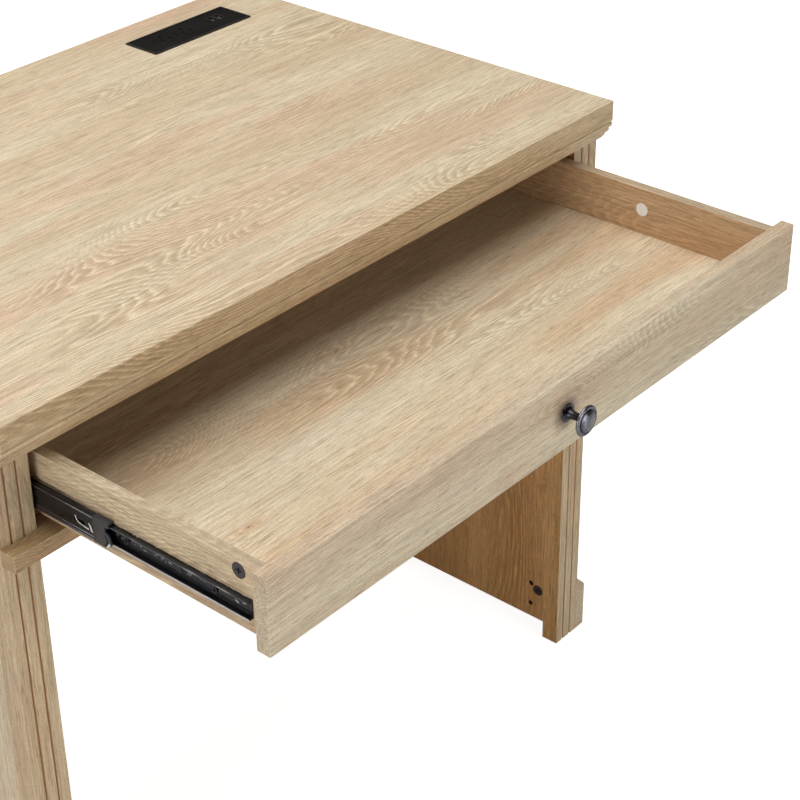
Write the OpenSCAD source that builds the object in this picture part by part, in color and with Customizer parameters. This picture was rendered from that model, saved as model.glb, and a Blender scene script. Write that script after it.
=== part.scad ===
// Writing desk with one wide drawer on ball-bearing slides and a power strip let into the top.
// X runs left to right, the front faces -Y and Z is up. The origin is on the floor under the
// centre of the whole desk as it stands here, with its drawer pulled out.

/* [Desktop] */
// Length of the desktop, left to right
top_w = 880; // [780:5:1100]
// Depth of the desktop, front to back
top_d = 597; // [490:1:760]
// Thickness of the desktop
top_t = 24; // [18:1:30]
// Height of the writing surface above the floor
desk_h = 760; // [620:5:920]

/* [Legs] */
// Width of a leg seen from the front
leg_w = 42; // [38:1:56]
// Depth of a corner post, front to back
post_d = 23; // [18:1:30]
// How far the front posts stand behind the desktop's front edge
front_setback = 21; // [21:1:30]
// How far the rear posts stand in front of the desktop's back edge
rear_setback = 10; // [0:1:30]
// Thickness of a leg panel
panel_t = 15; // [12:1:16]
// Height of the open gap under the leg panels
foot_gap = 25; // [15:1:40]
// Width of a groove in the face of a post
flute_w = 3; // [2:0.5:5]
// How far the plinth stands out from the leg
plinth_t = 16.5; // [14:0.5:20]
// Height of the plinth
plinth_h = 82; // [70:1:110]
// Height of a foot glide
glide_h = 2; // [1:0.5:4]
// Thickness of the back panel
back_t = 12; // [9:1:18]
// Height of the back panel
back_h = 280; // [200:5:360]

/* [Rails] */
// Height of the moulding under the desktop's front edge
moulding_h = 29; // [29:1:36]
// Thickness of the rail below the drawer
rail_t = 17; // [15:1:22]
// Depth of the drawer rail behind the post faces
rail_d = 62; // [50:1:90]
// How far the drawer rail stands out in front of the posts
rail_nose = 18.5; // [8:0.5:20]

/* [Drawer] */
// Height of the drawer front
front_h = 78; // [74:1:110]
// Thickness of the drawer front
front_t = 15; // [12:1:20]
// Gap around the drawer front
front_gap = 1.5; // [1:0.25:3]
// Length of a drawer side
side_l = 400; // [360:5:420]
// Height of a drawer side
side_h = 66; // [60:1:70]
// Thickness of a drawer side
side_t = 12; // [10:0.5:16]
// How far the drawer sides stay below the front's top edge
side_drop = 5; // [2:0.5:8]
// Thickness of the drawer bottom
bottom_t = 5; // [3:0.5:9]
// Height of the drawer bottom's underside above the side's lower edge
bottom_lift = 7; // [5:0.5:12]
// How far the drawer is pulled out as it stands here
drawer_open = 283; // [200:1:320]

/* [Slides] */
// Length of a slide
slide_l = 350; // [350:10:400]
// Space that a slide takes between the leg and the drawer side
slide_w = 10; // [10:0.5:13]
// Height of the slide's outer member
slide_h = 35; // [33:1:38]
// Height of the slide's centre above the drawer side's lower edge
slide_lift = 25; // [22:1:28]
// Distance from the drawer front's back face to the slide's front end
slide_inset = 10; // [6:1:20]
// Length that the drawer can travel
slide_travel = 350; // [330:1:350]

/* [Knob] */
// Diameter of the knob's head
knob_d = 31; // [28:0.5:40]
// How far the knob stands out from the drawer front
knob_reach = 27; // [25:0.5:34]
// Diameter of the knob's backplate
rosette_d = 19; // [18:0.5:26]

/* [Power strip] */
// Length of the power strip's bezel
strip_l = 161; // [150:1:190]
// Width of the power strip's bezel
strip_w = 53; // [48:1:70]
// Depth of the housing under the bezel
strip_h = 44; // [34:1:46]
// Distance from the desktop's right end to the power strip's right end
strip_from_right = 68.5; // [60:0.5:200]
// Distance from the desktop's back edge to the bezel's back edge
strip_from_back = 44.5; // [40:0.5:60]

/* [Hidden] */

oak = "#cbb48f";
oak_shade = "#b08b60";
oak_pale = "#d6c19c";
black_steel = "#26262a";
black_plastic = "#1b1b1d";
grey_plastic = "#4b4b50";
gunmetal = "#3a3b42";
bright_steel = "#c9c9cc";
dowel_wood = "#d9b98a";

$fn = 48;
eps = 0.01;
fit = 0.05;              // radial clearance of a pin or screw in its hole
LEFT = 0;
RIGHT = 1;

// Levels and planes of the desk, with y = 0 at the desktop's front edge
under_top = desk_h - top_t;
post_front = front_setback;
post_back = front_setback + post_d;
rear_post_back = top_d - rear_setback;
rear_post_front = rear_post_back - post_d;
leg_in = top_w / 2 - leg_w;
front_top = under_top - moulding_h - 1;
front_bottom = front_top - front_h;
rail_top = front_bottom - 2;
rail_bottom = rail_top - rail_t;
back_y = rear_post_back - back_t - 6;

// The drawer, with y = 0 at the front face of its front
drawer_y = post_front - drawer_open;
side_x = leg_in - slide_w;
side_top = front_top - side_drop;
side_bottom = side_top - side_h;
bottom_top = side_bottom + bottom_lift + bottom_t;
groove = 5;              // depth of the grooves that hold the drawer bottom
slide_z = side_bottom + slide_lift;

// The whole desk is moved so that its box is centred on the origin
origin_y = -(drawer_y - knob_reach + top_d) / 2;

module desk_frame() {
    translate([0, origin_y, 0]) children();
}

module drawer_frame() {
    translate([0, origin_y + drawer_y, 0]) children();
}

// Left-hand pieces are drawn as they are and right-hand ones are their mirror image
module on_side(side) {
    mirror([side, 0, 0]) children();
}

module block(x, y, z) {
    translate([x[0], y[0], z[0]]) cube([x[1] - x[0], y[1] - y[0], z[1] - z[0]]);
}

module rod_x(x, y, z, r) {
    translate([x[0], y, z]) rotate([0, 90, 0]) cylinder(h = x[1] - x[0], r = r);
}

module rod_y(x, y, z, r) {
    translate([x, y[1], z]) rotate([90, 0, 0]) cylinder(h = y[1] - y[0], r = r);
}

module rod_z(x, y, z, r) {
    translate([x, y, z[0]]) cylinder(h = z[1] - z[0], r = r);
}

// ---------------------------------------------------------------- leg joinery

cam_r = 7.5;
cam_depth = 12;
cam_back = 9.5;          // distance from a panel's edge to its cam
cam_bolt_r = 3;
dowel_r = 4;
dowel_l = 30;
accessory_r = 3.5;       // a pair of small holes beside each lower front cam
accessory_pitch = 32;

panel_mid = leg_in + panel_t / 2;
outer_panel_mid = top_w / 2 - panel_t / 2;
cam_heights = [73, desk_h - 160];
dowel_heights = [150, desk_h / 2, desk_h - 220];
top_cam_ys = [post_back + 90, rear_post_front - 90];
top_cam_z = under_top - 24;
back_dowel_zs = [under_top - 40, under_top - back_h + 40];
back_cam_z = under_top - back_h / 2;
back_cam_x = leg_in - 24;
rail_dowel_ys = [post_back + 12, post_front + rail_d - 10];
rail_mid = (rail_top + rail_bottom) / 2;

function edge_cams() = [
    for (z = cam_heights, end = [0, 1])
        [end == 0 ? post_back + cam_back : rear_post_front - cam_back, z, end]
];

module cam_bores(extra = 0) {
    for (c = edge_cams())
        rod_x([leg_in - extra, leg_in + cam_depth + extra], c[0], c[1], cam_r + (extra > 0 ? fit : 0));
    for (y = top_cam_ys)
        rod_x([leg_in - extra, leg_in + cam_depth + extra], y, top_cam_z, cam_r + (extra > 0 ? fit : 0));
}

// Bolts that run from the posts and the desktop into the cams
module leg_bolts(grow = 0) {
    reach = 11;
    for (c = edge_cams()) {
        y0 = c[2] == 0 ? post_back - reach : c[0] + cam_r;
        y1 = c[2] == 0 ? c[0] - cam_r : rear_post_front + reach;
        rod_y(panel_mid, [y0 - grow, y1 + grow], c[1], cam_bolt_r + grow);
    }
    for (y = top_cam_ys)
        rod_z(panel_mid, y, [top_cam_z + cam_r - grow, under_top + reach + grow], cam_bolt_r + grow);
}

module leg_dowels(grow = 0) {
    half = dowel_l / 2;
    for (x = [panel_mid, outer_panel_mid], z = dowel_heights, y = [post_back, rear_post_front])
        rod_y(x, [y - half - grow, y + half + grow], z, dowel_r + grow);
    for (y = rail_dowel_ys)
        rod_x([leg_in - 20 - grow, leg_in + 10 + grow], y, rail_mid, dowel_r + grow);
    for (z = back_dowel_zs)
        rod_x([leg_in - 20 - grow, leg_in + 10 + grow], back_y + back_t / 2, z, dowel_r * 0.75 + grow);
}

module back_bolt(grow = 0) {
    rod_x([back_cam_x + cam_r - grow, leg_in + 10 + grow], back_y + back_t / 2,
          back_cam_z, cam_bolt_r + grow);
}

module back_cam(grow = 0) {
    rod_y(back_cam_x, [back_y - grow, back_y + 10 + grow], back_cam_z, cam_r + grow);
}

// ---------------------------------------------------------------- desk frame

cut_l = strip_l - 9;
cut_w = strip_w - 9;
strip_x = top_w / 2 - strip_from_right - strip_l / 2;
strip_y = top_d - strip_from_back - strip_w / 2;

top_screw_xs = [for (i = [-3, -1, 1, 3]) i * leg_in / 4];
moulding_screw_xs = [for (i = [-4, 0, 4]) i * leg_in / 5];
cross_rail_t = 16;
cross_rail_z = front_top + 2;
screw_r = 2;

module top_screw_set(grow = 0) {
    for (x = top_screw_xs) {
        rod_z(x, post_front + cross_rail_t / 2, [cross_rail_z - grow, under_top + 14 + grow], screw_r + grow);
        rod_z(x, post_front + cross_rail_t / 2, [cross_rail_z - grow, cross_rail_z + 3 + grow],
              screw_r * 2 + grow);
    }
}

module moulding_screw_set(grow = 0) {
    z = (cross_rail_z + under_top) / 2;
    back = post_front + cross_rail_t;
    for (x = moulding_screw_xs) {
        rod_y(x, [post_front - 12 - grow, back + grow], z, screw_r + grow);
        rod_y(x, [back - 3 - grow, back + grow], z, screw_r * 2 + grow);
    }
}

module desktop() {
    color(oak) desk_frame() difference() {
        block([-top_w / 2, top_w / 2], [0, top_d], [under_top, desk_h]);
        translate([strip_x, strip_y, desk_h]) cube([cut_l, cut_w, 3 * top_t], center = true);
        top_screw_set(fit);
        for (side = [LEFT, RIGHT]) on_side(side) mirror([1, 0, 0]) leg_bolts(fit);
    }
}

// Bead, fillet, cove and a sloping foot, with x back from the desktop's edge and y down
// from its underside
module moulding_profile() {
    bead_r = 3.7;
    bead_x = 4;
    bead_y = 4.2;
    fillet_x = 4.6;
    cove_r = 11.5;
    cove_x = -0.3;
    cove_y = 23.9;
    lip = 2.5;
    foot_x = 13.4;
    foot_y = 24;
    polygon(concat(
        [[front_setback, 0], [bead_x, 0]],
        [for (a = [0 : 9 : 180]) [bead_x - bead_r * sin(a), bead_y - bead_r * cos(a)]],
        [[fillet_x, bead_y + bead_r]],
        cove_points(cove_x, cove_y, cove_r, acos((fillet_x - cove_x) / cove_r), asin(lip / cove_r)),
        [[foot_x, cove_y - lip], [foot_x, foot_y], [front_setback, moulding_h]]
    ));
}

// Points down a hollow quarter, from one angle above its centre's level to another
function cove_points(x, y, r, start, end) =
    [for (i = [0 : 12]) let (a = start + (end - start) * i / 12) [x + r * cos(a), y - r * sin(a)]];

module front_moulding() {
    color(oak) desk_frame() difference() {
        translate([-top_w / 2, 0, under_top])
            rotate([90, 0, 90]) linear_extrude(top_w) mirror([0, 1, 0]) moulding_profile();
        moulding_screw_set(fit);
    }
}

module front_cross_rail() {
    color(oak_shade) desk_frame() difference() {
        block([-leg_in, leg_in], [post_front, post_front + cross_rail_t], [cross_rail_z, under_top]);
        top_screw_set(fit);
        moulding_screw_set(fit);
    }
}

// One board: a nose along the front of both legs and a deeper part between them
module drawer_rail() {
    color(oak) desk_frame() difference() {
        union() {
            block([-top_w / 2, top_w / 2], [post_front - rail_nose, post_front], [rail_bottom, rail_top]);
            block([-leg_in, leg_in], [post_front - rail_nose, post_front + rail_d], [rail_bottom, rail_top]);
        }
        for (side = [LEFT, RIGHT]) on_side(side) mirror([1, 0, 0]) leg_dowels(fit);
    }
}

module back_panel() {
    color(oak_shade) desk_frame() difference() {
        block([-leg_in, leg_in], [back_y, back_y + back_t], [under_top - back_h, under_top]);
        for (side = [LEFT, RIGHT]) on_side(side) mirror([1, 0, 0]) {
            leg_dowels(fit);
            back_bolt(fit);
            back_cam(fit);
        }
    }
}

// Two grooves split the face of a post into three equal bands
module flutes() {
    for (i = [1, 2])
        translate([leg_w * i / 3, 0])
            polygon([[-flute_w / 2, -eps], [flute_w / 2, -eps], [0, flute_w * 0.7]]);
}

module post(side, y, front) {
    color(oak) desk_frame() on_side(side) difference() {
        translate([-top_w / 2, y, glide_h]) linear_extrude(under_top - glide_h) difference() {
            square([leg_w, post_d]);
            if (front) flutes();
        }
        mirror([1, 0, 0]) {
            leg_bolts(fit);
            leg_dowels(fit);
            back_bolt(fit);
        }
        glide_pin(y, fit);
    }
}

module inner_panel(side) {
    color(oak_shade) desk_frame() on_side(side) mirror([1, 0, 0]) difference() {
        block([leg_in, leg_in + panel_t], [post_back, rear_post_front], [glide_h + foot_gap, under_top]);
        cam_bores(fit);
        leg_bolts(fit);
        leg_dowels(fit);
        slide_screw_set(fit);
        accessory_holes();
    }
}

// Two small blind holes on a 32 mm pitch beside the lower front cam
module accessory_holes() {
    for (i = [-1, 1])
        rod_x([leg_in - 1, leg_in + 12], post_back + cam_back + 11,
              cam_heights[0] - 9 + i * accessory_pitch / 2, accessory_r);
}

module outer_panel(side) {
    color(oak) desk_frame() on_side(side) mirror([1, 0, 0]) difference() {
        block([top_w / 2 - panel_t, top_w / 2], [post_back, rear_post_front],
              [glide_h + foot_gap, under_top]);
        leg_dowels(fit);
    }
}

// Strips that hold the two panels of a leg apart
module leg_spacers(side) {
    strip_h = 50;
    top_gap = 60;
    low = glide_h + foot_gap;
    color(dowel_wood) desk_frame() on_side(side) mirror([1, 0, 0])
        for (z = [low, (low + under_top - strip_h) / 2, under_top - strip_h])
            block([leg_in + panel_t, top_w / 2 - panel_t], [post_back + top_gap, rear_post_front - top_gap],
                  [z, z + strip_h]);
}

// Upright face, rounded shoulder and a slope of 45 degrees up to the leg
module plinth_profile() {
    round_r = 10;
    shoulder = plinth_h - plinth_t - round_r * (sqrt(2) - 1);
    polygon(concat(
        [[0, 0], [plinth_t, 0]],
        [for (a = [0 : 3 : 45]) [plinth_t - round_r + round_r * cos(a), shoulder + round_r * sin(a)]],
        [[0, plinth_h]]
    ));
}

// It stands on the floor under the posts and bridges the gap between them
module plinth(side) {
    color(oak) desk_frame() on_side(side) mirror([1, 0, 0]) difference() {
        translate([top_w / 2, rear_post_back, glide_h])
            rotate([90, 0, 0]) linear_extrude(rear_post_back - post_front) plinth_profile();
        block([top_w / 2 - 1, top_w / 2 + plinth_t + 1], [post_back, rear_post_front],
              [0, glide_h + foot_gap]);
    }
}

module leg_cam_locks() {
    color(black_plastic) desk_frame() for (side = [LEFT, RIGHT]) on_side(side) mirror([1, 0, 0]) {
        difference() {
            cam_bores();
            for (c = edge_cams()) cross_recess_x(leg_in, c[0], c[1], 3.2);
            for (y = top_cam_ys) cross_recess_x(leg_in, y, top_cam_z, 3.2);
        }
        difference() {
            back_cam();
            cross_recess_y(back_cam_x, back_y, back_cam_z, 3.2);
        }
    }
}

// Cross-shaped driver recesses, cut 2 mm into a head that lies across X or across Y
module cross_recess_x(x, y, z, half) {
    block([x - 2, x + 2], [y - half, y + half], [z - 0.6, z + 0.6]);
    block([x - 2, x + 2], [y - 0.6, y + 0.6], [z - half, z + half]);
}

module cross_recess_y(x, y, z, half) {
    block([x - half, x + half], [y - 2, y + 2], [z - 0.6, z + 0.6]);
    block([x - 0.6, x + 0.6], [y - 2, y + 2], [z - half, z + half]);
}

module leg_cam_bolts() {
    color(bright_steel) desk_frame() for (side = [LEFT, RIGHT]) on_side(side) mirror([1, 0, 0]) {
        leg_bolts();
        back_bolt();
    }
}

module frame_dowels() {
    color(dowel_wood) desk_frame() for (side = [LEFT, RIGHT]) on_side(side) mirror([1, 0, 0])
        leg_dowels();
}

// Screws from the cross rail up into the desktop and forward into the moulding
module cross_rail_screws() {
    y = post_front + cross_rail_t / 2;
    z = (cross_rail_z + under_top) / 2;
    color(bright_steel) desk_frame() difference() {
        union() {
            top_screw_set();
            moulding_screw_set();
        }
        for (x = top_screw_xs) {
            block([x - 2, x + 2], [y - 0.5, y + 0.5], [cross_rail_z - 1, cross_rail_z + 1.5]);
            block([x - 0.5, x + 0.5], [y - 2, y + 2], [cross_rail_z - 1, cross_rail_z + 1.5]);
        }
        for (x = moulding_screw_xs) cross_recess_y(x, post_front + cross_rail_t, z, 2);
    }
}

glide_r = 8;

module glide_pin(y, grow = 0) {
    rod_z(-top_w / 2 + leg_w / 2, y + post_d / 2, [glide_h - grow, glide_h + 12 + grow], 1.5 + grow);
}

module foot_glides() {
    color(black_plastic) desk_frame() for (side = [LEFT, RIGHT], y = [post_front, rear_post_front])
        on_side(side) {
            rod_z(-top_w / 2 + leg_w / 2, y + post_d / 2, [0, glide_h], glide_r);
            glide_pin(y);
        }
}

// ---------------------------------------------------------------- power strip

bezel_rim = 3;
bezel_rise = 2;
plate_t = 2.5;
plate_drop = 0.8;
plate_l = strip_l - 2 * bezel_rim;
plate_w = strip_w - 2 * bezel_rim;
plate_z = desk_h + bezel_rise - plate_drop;
skirt = cut_l - 2 * 0.3;
skirt_w = cut_w - 2 * 0.3;
socket_xs = [strip_x - 39, strip_x - 5];
socket_y = strip_y + 3.5;
socket_r = 14.5;
usb_xs = [strip_x + 43, strip_x + 54.5];
usb_l = 12.5;
usb_w = 5.4;

module power_bezel() {
    color(black_plastic) desk_frame() translate([strip_x, strip_y, 0]) difference() {
        translate([0, 0, desk_h]) linear_extrude(bezel_rise) square([strip_l, strip_w], center = true);
        translate([0, 0, desk_h - 1]) linear_extrude(bezel_rise + 2)
            square([plate_l, plate_w], center = true);
    }
}

module power_faceplate() {
    color(black_plastic) desk_frame() difference() {
        translate([strip_x, strip_y, plate_z - plate_t / 2])
            cube([plate_l - 0.2, plate_w - 0.2, plate_t], center = true);
        translate([strip_x, strip_y, desk_h - 5])
            difference() {
                cube([strip_l, strip_w, 10], center = true);
                cube([skirt, skirt_w, 12], center = true);
            }
        for (x = socket_xs) rod_z(x, socket_y, [plate_z - 5, plate_z + 1], socket_r + fit);
        usb_body(plate_z - 5, plate_z + 1, 0.1);
    }
}

// A grounded socket: round earth hole behind, two upright slots in front
module power_sockets() {
    depth = 16;
    color(black_plastic) desk_frame() for (x = socket_xs) difference() {
        rod_z(x, socket_y, [plate_z - depth, plate_z + 0.4], socket_r);
        rod_z(x, socket_y + 6.5, [plate_z - 12, plate_z + 1], 2.4);
        for (i = [-1, 1])
            block([x + i * 6.35 - 0.9, x + i * 6.35 + 0.9], [socket_y - 9, socket_y - 1.5],
                  [plate_z - 12, plate_z + 1]);
    }
}

module usb_body(z0, z1, grow = 0) {
    mid = (usb_xs[0] + usb_xs[1]) / 2;
    block([mid - 11 - grow, mid + 11 + grow], [socket_y - 8.5 - grow, socket_y + 8.5 + grow], [z0, z1]);
}

module usb_port_block() {
    depth = 14;
    tongue_t = 1.8;
    color(grey_plastic) desk_frame() difference() {
        usb_body(plate_z - depth - 3, plate_z + 0.2);
        for (x = usb_xs) difference() {
            block([x - usb_w / 2, x + usb_w / 2], [socket_y - usb_l / 2, socket_y + usb_l / 2],
                  [plate_z - depth, plate_z + 1]);
            block([x - usb_w / 2 + 0.6, x - usb_w / 2 + 0.6 + tongue_t],
                  [socket_y - usb_l / 2 + 1, socket_y + usb_l / 2 - 1],
                  [plate_z - depth - 1, plate_z - 0.6]);
        }
    }
}

housing_wall = 2;
housing_z = desk_h - strip_h;
gland_r = 6;
gland_x = strip_x - 40;
cord_hole_r = 3.6;

module power_housing() {
    color(black_plastic) desk_frame() difference() {
        translate([strip_x - skirt / 2, strip_y - skirt_w / 2, housing_z])
            cube([skirt, skirt_w, plate_z - plate_t - housing_z]);
        translate([strip_x - skirt / 2 + housing_wall, strip_y - skirt_w / 2 + housing_wall,
                   housing_z + housing_wall])
            cube([skirt - 2 * housing_wall, skirt_w - 2 * housing_wall, strip_h * 2]);
        gland_body(fit);
        for (i = [-1, 1])
            rod_x([strip_x + i * (skirt / 2 - 1) - 3, strip_x + i * (skirt / 2 - 1) + 3], strip_y,
                  under_top - 7, 1.5 + fit);
    }
}

module gland_body(grow = 0) {
    rod_z(gland_x, strip_y, [housing_z - 6, housing_z + housing_wall + 1], gland_r + grow);
}

// The gland in the housing's floor that the supply cord would pass through
module cord_gland() {
    color(black_plastic) desk_frame() difference() {
        union() {
            gland_body();
            rod_z(gland_x, strip_y, [housing_z - 3, housing_z - fit], gland_r + 1.5);
        }
        rod_z(gland_x, strip_y, [housing_z - 7, housing_z + housing_wall + 2], cord_hole_r);
    }
}

// Angles screwed to the housing's ends that grip the desktop from below
module power_clamps() {
    color(bright_steel) desk_frame() for (i = [-1, 1]) translate([strip_x, strip_y, 0])
        mirror([i < 0 ? 1 : 0, 0, 0]) {
            translate([skirt / 2 + 0.1, -8, under_top - 14]) cube([1.5, 16, 13.9]);
            translate([skirt / 2 + 0.1, -8, under_top - 1.6]) cube([14, 16, 1.5]);
            rod_x([skirt / 2 - 2, skirt / 2 + 0.6], 0, under_top - 7, 1.5);
            rod_x([skirt / 2 + 1.6, skirt / 2 + 3.4], 0, under_top - 7, 3);
        }
}

// ---------------------------------------------------------------- drawer slides
// A slide's cross-section has x from the leg panel to the drawer side and y up from its centre.

web = 1;
flange = 1.6;
out_h = slide_h / 2;
ball_1 = 1.6;            // radius of the balls between the outer and middle members
ball_2 = 1.35;           // radius of the balls between the middle and inner members
ball_x = 5.4;
race_1 = out_h - flange - 1.3;
mid_h = race_1 - 1.3;
race_2 = mid_h - flange - 1.15;
in_h = race_2 - 1.15;
mid_x = 2.1;
tip = slide_w - 1.4;
slide_front = slide_inset + front_t;

// Where the members stand along y, with y = 0 at the desktop's front edge
outer_y = post_front + slide_front;
inner_y = outer_y - drawer_open;
mid_l = slide_l - 25;
mid_shut = outer_y + 18.5;
mid_ratio = 0.5;
mid_y = mid_shut - drawer_open * mid_ratio;
cap_l = 22;
cage_l = 92;
outer_cage_shut = (outer_y + mid_shut + mid_l - slide_travel * mid_ratio) / 2 + slide_travel * 0.25;
inner_cage_shut = (mid_shut - slide_travel * mid_ratio + outer_y + slide_l - slide_travel) / 2
                  + slide_travel * 0.75;
outer_cage_y = outer_cage_shut - drawer_open * 0.25;
inner_cage_y = inner_cage_shut - drawer_open * 0.75;
balls_per_row = 8;
ball_pitch = 11;

// Places a cross-section along y beside the leg, for either side
module slide_bar(side, y, l) {
    desk_frame() on_side(side) translate([-leg_in, y + l, slide_z])
        rotate([90, 0, 0]) linear_extrude(l) children();
}

module channel(x0, x1, half, back) {
    difference() {
        translate([x0, -half]) square([x1 - x0, 2 * half]);
        translate([back ? x0 - 1 : x0 + web, -half + flange])
            square([x1 - x0 + 1 - web, 2 * (half - flange)]);
    }
}

module races(v, r) {
    for (i = [-1, 1]) translate([ball_x, i * v]) circle(r = r + fit);
}

case_screw_ys = [for (f = [0.1, 0.45, 0.9]) outer_y + slide_l * f];
drawer_screw_ys = [for (f = [0.12, 0.42, 0.9]) slide_front + slide_l * f];

// Screws that hold the outer members to the leg panels, measured from the leg's inner face
module slide_screw_set(grow = 0) {
    for (y = case_screw_ys) {
        rod_x([leg_in - web - grow, leg_in + 11 + grow], y, slide_z, 1.7 + grow);
        rod_x([leg_in - web + 0.1 - grow, leg_in + grow], y, slide_z, 3.4 + grow);
    }
}

module slide_outer_member(side) {
    color(black_steel) difference() {
        slide_bar(side, outer_y, slide_l) difference() {
            channel(0, tip, out_h, false);
            races(race_1, ball_1);
        }
        desk_frame() on_side(side) mirror([1, 0, 0]) slide_screw_set(fit);
    }
}

module slide_case_screws() {
    color(bright_steel) desk_frame() for (side = [LEFT, RIGHT]) on_side(side) mirror([1, 0, 0])
        slide_screw_set();
}

module slide_middle_member(side) {
    metal_l = mid_l - cap_l;
    color(black_steel) difference() {
        slide_bar(side, mid_y + cap_l, metal_l) difference() {
            channel(mid_x, tip, mid_h, false);
            races(race_1, ball_1);
            races(race_2, ball_2);
        }
        desk_frame() on_side(side) translate([-leg_in, mid_y + cap_l + 13, slide_z])
            lanced_slot();
        desk_frame() on_side(side) translate([-leg_in, mid_y + mid_l - 40, slide_z])
            lanced_slot();
    }
}

// The slot left where a stop tab is bent out of the web
module lanced_slot() {
    rod_x([mid_x - 1, mid_x + 2], 0, 0, 2);
    block([mid_x - 1, mid_x + 2], [0, 10], [-2, 2]);
    rod_x([mid_x - 1, mid_x + 2], 10, 0, 2);
}

module slide_end_cap(side) {
    color(grey_plastic) difference() {
        slide_bar(side, mid_y, cap_l - 0.05) difference() {
            translate([mid_x - 0.5, -mid_h]) square([tip - mid_x + 0.5, 2 * mid_h]);
            translate([mid_x + 1.4, -in_h - 0.6]) square([tip, 2 * in_h + 1.2]);
        }
        desk_frame() on_side(side) translate([-leg_in, mid_y, slide_z]) cap_slit();
    }
}

// A curved slit that lets the cap's nose spring
module cap_slit() {
    difference() {
        rod_x([mid_x - 2, mid_x + 3], 4, 0, 6.6);
        rod_x([mid_x - 3, mid_x + 4], 4, 0, 5.6);
        block([mid_x - 3, mid_x + 4], [-10, 6], [-10, 10]);
    }
}

module cage(side, y, x0, x1, half, r) {
    arm = 0.8;
    color(grey_plastic) difference() {
        slide_bar(side, y - cage_l / 2, cage_l) difference() {
            translate([x0, -half]) square([x1 - x0, 2 * half]);
            translate([x0 + 0.5, -half + arm]) square([x1 - x0, 2 * (half - arm)]);
        }
        ball_rows(side, y, half - arm / 2, 2 * arm, r);
    }
}

// Holes for the balls where tall is given, and the balls where it is not
module ball_rows(side, y, v, tall, r) {
    desk_frame() on_side(side) for (i = [0 : balls_per_row - 1], s = [-1, 1])
        translate([-leg_in + ball_x, y + (i - (balls_per_row - 1) / 2) * ball_pitch, slide_z + s * v])
            if (tall > 0) cylinder(h = tall, r = r + fit, center = true); else sphere(r = r);
}

module outer_ball_cage(side) {
    cage(side, outer_cage_y, web + 0.3, ball_x + ball_1 + 1, race_1 + 0.4, ball_1);
}

module inner_ball_cage(side) {
    cage(side, inner_cage_y, mid_x + web + 0.3, ball_x + ball_2 + 1, race_2 + 0.35, ball_2);
}

module slide_balls_outer(side) {
    color(bright_steel) ball_rows(side, outer_cage_y, race_1, 0, ball_1);
}

module slide_balls_inner(side) {
    color(bright_steel) ball_rows(side, inner_cage_y, race_2, 0, ball_2);
}

// Screws from the inner members into the drawer sides, with y = 0 at the drawer's front face
module drawer_screw_set(grow = 0) {
    for (y = drawer_screw_ys) {
        rod_x([side_x - 9 - grow, side_x + web + grow], y, slide_z, 1.7 + grow);
        rod_x([side_x + web, side_x + web + 1.4], y, slide_z, 3.4 + grow);
    }
}

module slide_inner_member(side) {
    color(black_steel) difference() {
        slide_bar(side, inner_y, slide_l) difference() {
            channel(mid_x + web + 1.1, slide_w, in_h, true);
            races(race_2, ball_2);
        }
        drawer_frame() on_side(side) mirror([1, 0, 0]) {
            drawer_screw_set(fit);
            for (f = [0.24, 0.56, 0.75])
                rod_x([side_x - 1, side_x + 3], slide_front + slide_l * f, slide_z, 3);
        }
    }
}

module slide_drawer_screws() {
    color(bright_steel) drawer_frame() for (side = [LEFT, RIGHT]) on_side(side) mirror([1, 0, 0])
        difference() {
            drawer_screw_set();
            for (y = drawer_screw_ys) cross_recess_x(side_x + web + 2.6, y, slide_z, 2);
        }
}

// ---------------------------------------------------------------- drawer

front_x = leg_in - front_gap;
drawer_back_y = front_t + side_l;
back_board_t = side_t;
drawer_cam_y = front_t + 24.5;
drawer_cam_z = side_top - 9.5;
drawer_dowel_zs = [side_bottom + 19, side_bottom + 36];
back_screw_zs = [side_top - 14, side_bottom + 22];

module drawer_cam_set(grow = 0) {
    rod_x([side_x - 9.5 - grow, side_x + grow], drawer_cam_y, drawer_cam_z, cam_r + grow);
}

module drawer_bolt_set(grow = 0) {
    rod_y(side_x - side_t / 2, [front_t - 9 - grow, drawer_cam_y - cam_r + grow], drawer_cam_z, 2.5 + grow);
}

module drawer_dowel_set(grow = 0) {
    for (z = drawer_dowel_zs)
        rod_y(side_x - side_t / 2, [front_t - 8 - grow, front_t + 12 + grow], z, 3 + grow);
}

module back_screw_set(grow = 0) {
    for (z = back_screw_zs) {
        y = drawer_back_y - back_board_t / 2;
        rod_x([side_x - 38 - grow, side_x + grow], y, z, screw_r + grow);
        rod_x([side_x - 3 - grow, side_x + grow], y, z, 3.5 + grow);
    }
}

module bottom_board(grow = 0) {
    inset = side_x - side_t + groove - 0.3;
    block([-inset - grow, inset + grow], [front_t - groove + 0.3 - grow, drawer_back_y - back_board_t + 0.3],
          [bottom_top - bottom_t - grow, bottom_top + grow]);
}

module drawer_front() {
    color(oak) drawer_frame() difference() {
        block([-front_x, front_x], [0, front_t], [front_bottom, front_top]);
        bottom_board(0.1);
        for (side = [LEFT, RIGHT]) on_side(side) mirror([1, 0, 0]) {
            drawer_bolt_set(fit);
            drawer_dowel_set(fit);
        }
        rod_y(0, [-1, front_t + 1], knob_z, 2.2);
    }
}

module drawer_side(side) {
    color(oak_pale) drawer_frame() on_side(side) mirror([1, 0, 0]) difference() {
        block([side_x - side_t, side_x], [front_t, drawer_back_y], [side_bottom, side_top]);
        bottom_board(0.1);
        translate([0, back_board_t, 0]) bottom_board(0.1);
        drawer_cam_set(fit);
        drawer_bolt_set(fit);
        drawer_dowel_set(fit);
        back_screw_set(fit);
        drawer_screw_set(fit);
    }
}

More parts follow.
